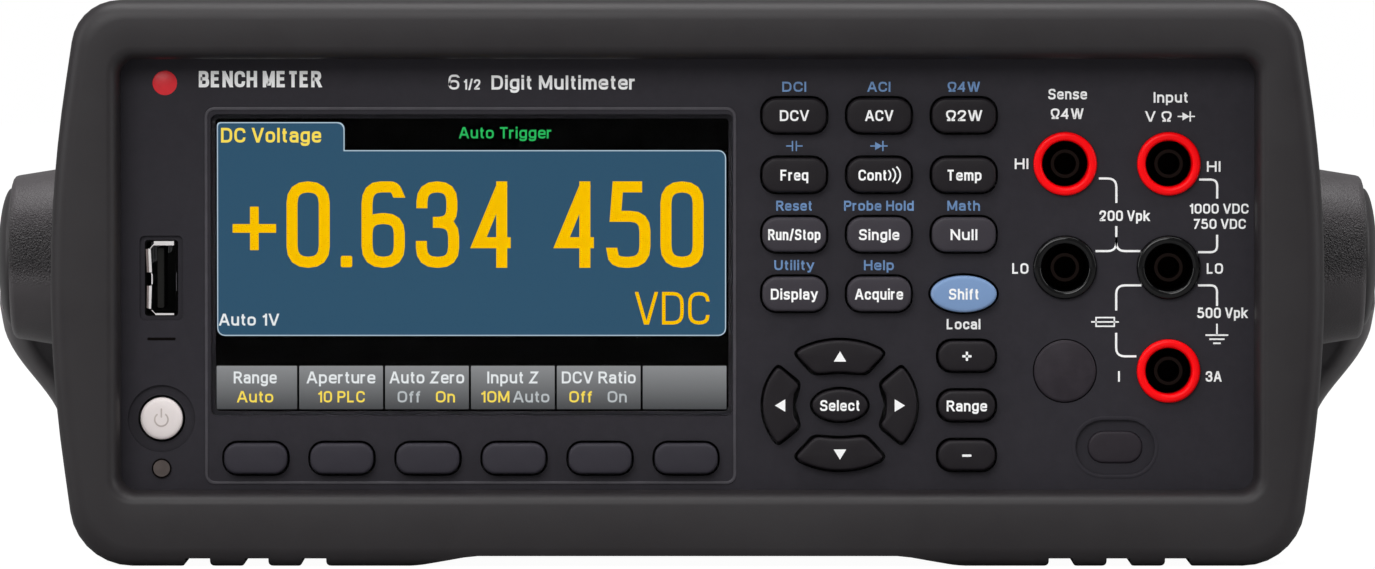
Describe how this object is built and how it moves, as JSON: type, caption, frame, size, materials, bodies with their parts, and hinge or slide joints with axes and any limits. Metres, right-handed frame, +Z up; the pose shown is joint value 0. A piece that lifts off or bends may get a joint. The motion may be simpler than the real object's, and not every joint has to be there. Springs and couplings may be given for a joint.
{
  "type": "bench multimeter",
  "caption": "Half-rack bench multimeter: metal sleeve between bowed rubber bumpers, colour display, keypad, shrouded banana jacks and a swinging bail handle.",
  "frame": {"origin": "on the bench, under the middle of the instrument", "axes": "+Z up, the front panel faces -Y, +X is the jack side"},
  "size_m": [0.2612, 0.3032, 0.1038],
  "materials": {
    "panel_plastic": "fine texture",
    "window": "polished",
    "display": "smooth",
    "mat_rubber": "matt",
    "board": "satin",
    "bumper_rubber": "satin",
    "sleeve_paint": "textured paint",
    "zinc_sheet": "zinc plated",
    "jack_red": "gloss",
    "jack_black": "gloss",
    "contact_brass": "plated",
    "inner_plastic": "matt",
    "connector_metal": "nickel",
    "led_lens": "frosted",
    "blank_plastic": "matt",
    "inlet_plastic": "satin",
    "fan_plastic": "satin",
    "module_plastic": "matt",
    "handle_plastic": "leather grain",
    "cap_plastic": "satin",
    "boss_plastic": "matt",
    "screw_steel": "plated",
    "button_white": "satin",
    "softkey_plastic": "satin",
    "key_dark": "satin",
    "key_grey": "satin",
    "key_blue": "satin"
  },
  "bodies": {
    "case": {"front_bezel": "panel_plastic", "display_window": "window", "lcd_module": "display", "keypad_mat": "mat_rubber", "front_board": "board", "front_bumper": "bumper_rubber", "rear_bumper": "bumper_rubber", "case_sleeve": "sleeve_paint", "chassis_tray": "zinc_sheet", "rear_panel": "zinc_sheet", "main_board": "board", "jack_shells_red": "jack_red", "jack_shells_black": "jack_black", "jack_contacts": "contact_brass", "jack_block": "inner_plastic", "usb_host_shell": "connector_metal", "usb_host_tongue": "inner_plastic", "power_led_lens": "led_lens", "blank_plugs": "blank_plastic", "mains_inlet": "inlet_plastic", "inlet_pins": "connector_metal", "usb_device_port": "connector_metal", "lan_port": "connector_metal", "bnc_jacks": "connector_metal", "fan_frame": "fan_plastic", "power_module": "module_plastic", "shield_can": "zinc_sheet", "pivot_bosses": "boss_plastic", "screws": "screw_steel"},
    "handle_body": {"handle": "handle_plastic", "hub_caps": "cap_plastic"},
    "fan_body": {"fan_rotor": "fan_plastic"},
    "fuse_drawer_body": {"fuse_drawer": "inlet_plastic"},
    "power_button_body": {"power_button": "button_white"},
    "softkey_1_body": {"softkey_1": "softkey_plastic"},
    "softkey_2_body": {"softkey_2": "softkey_plastic"},
    "softkey_3_body": {"softkey_3": "softkey_plastic"},
    "softkey_4_body": {"softkey_4": "softkey_plastic"},
    "softkey_5_body": {"softkey_5": "softkey_plastic"},
    "softkey_6_body": {"softkey_6": "softkey_plastic"},
    "key_dcv_body": {"key_dcv": "key_dark"},
    "key_acv_body": {"key_acv": "key_dark"},
    "key_ohms_body": {"key_ohms": "key_dark"},
    "key_freq_body": {"key_freq": "key_dark"},
    "key_cont_body": {"key_cont": "key_dark"},
    "key_temp_body": {"key_temp": "key_dark"},
    "key_run_body": {"key_run": "key_grey"},
    "key_single_body": {"key_single": "key_grey"},
    "key_null_body": {"key_null": "key_grey"},
    "key_display_body": {"key_display": "key_grey"},
    "key_acquire_body": {"key_acquire": "key_grey"},
    "key_shift_body": {"key_shift": "key_blue"},
    "key_range_up_body": {"key_range_up": "key_dark"},
    "key_range_body": {"key_range": "key_dark"},
    "key_range_down_body": {"key_range_down": "key_dark"},
    "nav_up_body": {"nav_up": "key_dark"},
    "nav_down_body": {"nav_down": "key_dark"},
    "nav_left_body": {"nav_left": "key_dark"},
    "nav_right_body": {"nav_right": "key_dark"},
    "nav_select_body": {"nav_select": "key_dark"}
  },
  "joints": [
    {"name": "power_button_press", "type": "slide", "parent": "case", "child": "power_button_body", "axis": [0, 1, 0], "range_m": [0, 0.001], "stiffness_N_per_m": 800, "springref_m": -0.0005},
    {"name": "softkey_1_press", "type": "slide", "parent": "case", "child": "softkey_1_body", "axis": [0, 1, 0], "range_m": [0, 0.001], "stiffness_N_per_m": 800, "springref_m": -0.0005},
    {"name": "softkey_2_press", "type": "slide", "parent": "case", "child": "softkey_2_body", "axis": [0, 1, 0], "range_m": [0, 0.001], "stiffness_N_per_m": 800, "springref_m": -0.0005},
    {"name": "softkey_3_press", "type": "slide", "parent": "case", "child": "softkey_3_body", "axis": [0, 1, 0], "range_m": [0, 0.001], "stiffness_N_per_m": 800, "springref_m": -0.0005},
    {"name": "softkey_4_press", "type": "slide", "parent": "case", "child": "softkey_4_body", "axis": [0, 1, 0], "range_m": [0, 0.001], "stiffness_N_per_m": 800, "springref_m": -0.0005},
    {"name": "softkey_5_press", "type": "slide", "parent": "case", "child": "softkey_5_body", "axis": [0, 1, 0], "range_m": [0, 0.001], "stiffness_N_per_m": 800, "springref_m": -0.0005},
    {"name": "softkey_6_press", "type": "slide", "parent": "case", "child": "softkey_6_body", "axis": [0, 1, 0], "range_m": [0, 0.001], "stiffness_N_per_m": 800, "springref_m": -0.0005},
    {"name": "key_dcv_press", "type": "slide", "parent": "case", "child": "key_dcv_body", "axis": [0, 1, 0], "range_m": [0, 0.001], "stiffness_N_per_m": 800, "springref_m": -0.0005},
    {"name": "key_acv_press", "type": "slide", "parent": "case", "child": "key_acv_body", "axis": [0, 1, 0], "range_m": [0, 0.001], "stiffness_N_per_m": 800, "springref_m": -0.0005},
    {"name": "key_ohms_press", "type": "slide", "parent": "case", "child": "key_ohms_body", "axis": [0, 1, 0], "range_m": [0, 0.001], "stiffness_N_per_m": 800, "springref_m": -0.0005},
    {"name": "key_freq_press", "type": "slide", "parent": "case", "child": "key_freq_body", "axis": [0, 1, 0], "range_m": [0, 0.001], "stiffness_N_per_m": 800, "springref_m": -0.0005},
    {"name": "key_cont_press", "type": "slide", "parent": "case", "child": "key_cont_body", "axis": [0, 1, 0], "range_m": [0, 0.001], "stiffness_N_per_m": 800, "springref_m": -0.0005},
    {"name": "key_temp_press", "type": "slide", "parent": "case", "child": "key_temp_body", "axis": [0, 1, 0], "range_m": [0, 0.001], "stiffness_N_per_m": 800, "springref_m": -0.0005},
    {"name": "key_run_press", "type": "slide", "parent": "case", "child": "key_run_body", "axis": [0, 1, 0], "range_m": [0, 0.001], "stiffness_N_per_m": 800, "springref_m": -0.0005},
    {"name": "key_single_press", "type": "slide", "parent": "case", "child": "key_single_body", "axis": [0, 1, 0], "range_m": [0, 0.001], "stiffness_N_per_m": 800, "springref_m": -0.0005},
    {"name": "key_null_press", "type": "slide", "parent": "case", "child": "key_null_body", "axis": [0, 1, 0], "range_m": [0, 0.001], "stiffness_N_per_m": 800, "springref_m": -0.0005},
    {"name": "key_display_press", "type": "slide", "parent": "case", "child": "key_display_body", "axis": [0, 1, 0], "range_m": [0, 0.001], "stiffness_N_per_m": 800, "springref_m": -0.0005},
    {"name": "key_acquire_press", "type": "slide", "parent": "case", "child": "key_acquire_body", "axis": [0, 1, 0], "range_m": [0, 0.001], "stiffness_N_per_m": 800, "springref_m": -0.0005},
    {"name": "key_shift_press", "type": "slide", "parent": "case", "child": "key_shift_body", "axis": [0, 1, 0], "range_m": [0, 0.001], "stiffness_N_per_m": 800, "springref_m": -0.0005},
    {"name": "key_range_up_press", "type": "slide", "parent": "case", "child": "key_range_up_body", "axis": [0, 1, 0], "range_m": [0, 0.001], "stiffness_N_per_m": 800, "springref_m": -0.0005},
    {"name": "key_range_press", "type": "slide", "parent": "case", "child": "key_range_body", "axis": [0, 1, 0], "range_m": [0, 0.001], "stiffness_N_per_m": 800, "springref_m": -0.0005},
    {"name": "key_range_down_press", "type": "slide", "parent": "case", "child": "key_range_down_body", "axis": [0, 1, 0], "range_m": [0, 0.001], "stiffness_N_per_m": 800, "springref_m": -0.0005},
    {"name": "nav_up_press", "type": "slide", "parent": "case", "child": "nav_up_body", "axis": [0, 1, 0], "range_m": [0, 0.001], "stiffness_N_per_m": 800, "springref_m": -0.0005},
    {"name": "nav_down_press", "type": "slide", "parent": "case", "child": "nav_down_body", "axis": [0, 1, 0], "range_m": [0, 0.001], "stiffness_N_per_m": 800, "springref_m": -0.0005},
    {"name": "nav_left_press", "type": "slide", "parent": "case", "child": "nav_left_body", "axis": [0, 1, 0], "range_m": [0, 0.001], "stiffness_N_per_m": 800, "springref_m": -0.0005},
    {"name": "nav_right_press", "type": "slide", "parent": "case", "child": "nav_right_body", "axis": [0, 1, 0], "range_m": [0, 0.001], "stiffness_N_per_m": 800, "springref_m": -0.0005},
    {"name": "nav_select_press", "type": "slide", "parent": "case", "child": "nav_select_body", "axis": [0, 1, 0], "range_m": [0, 0.001], "stiffness_N_per_m": 800, "springref_m": -0.0005},
    {"name": "handle_swing", "type": "hinge", "parent": "case", "child": "handle_body", "pos_m": [0, -0.0816, 0.0546], "axis": [-1, 0, 0], "range_deg": [0, 245]},
    {"name": "fan_spin", "type": "hinge", "parent": "case", "child": "fan_body", "pos_m": [-0.0684, 0.1203, 0.0524], "axis": [0, 1, 0], "continuous": true},
    {"name": "fuse_drawer_slide", "type": "slide", "parent": "case", "child": "fuse_drawer_body", "axis": [0, 1, 0], "range_m": [0, 0.022]}
  ]
}
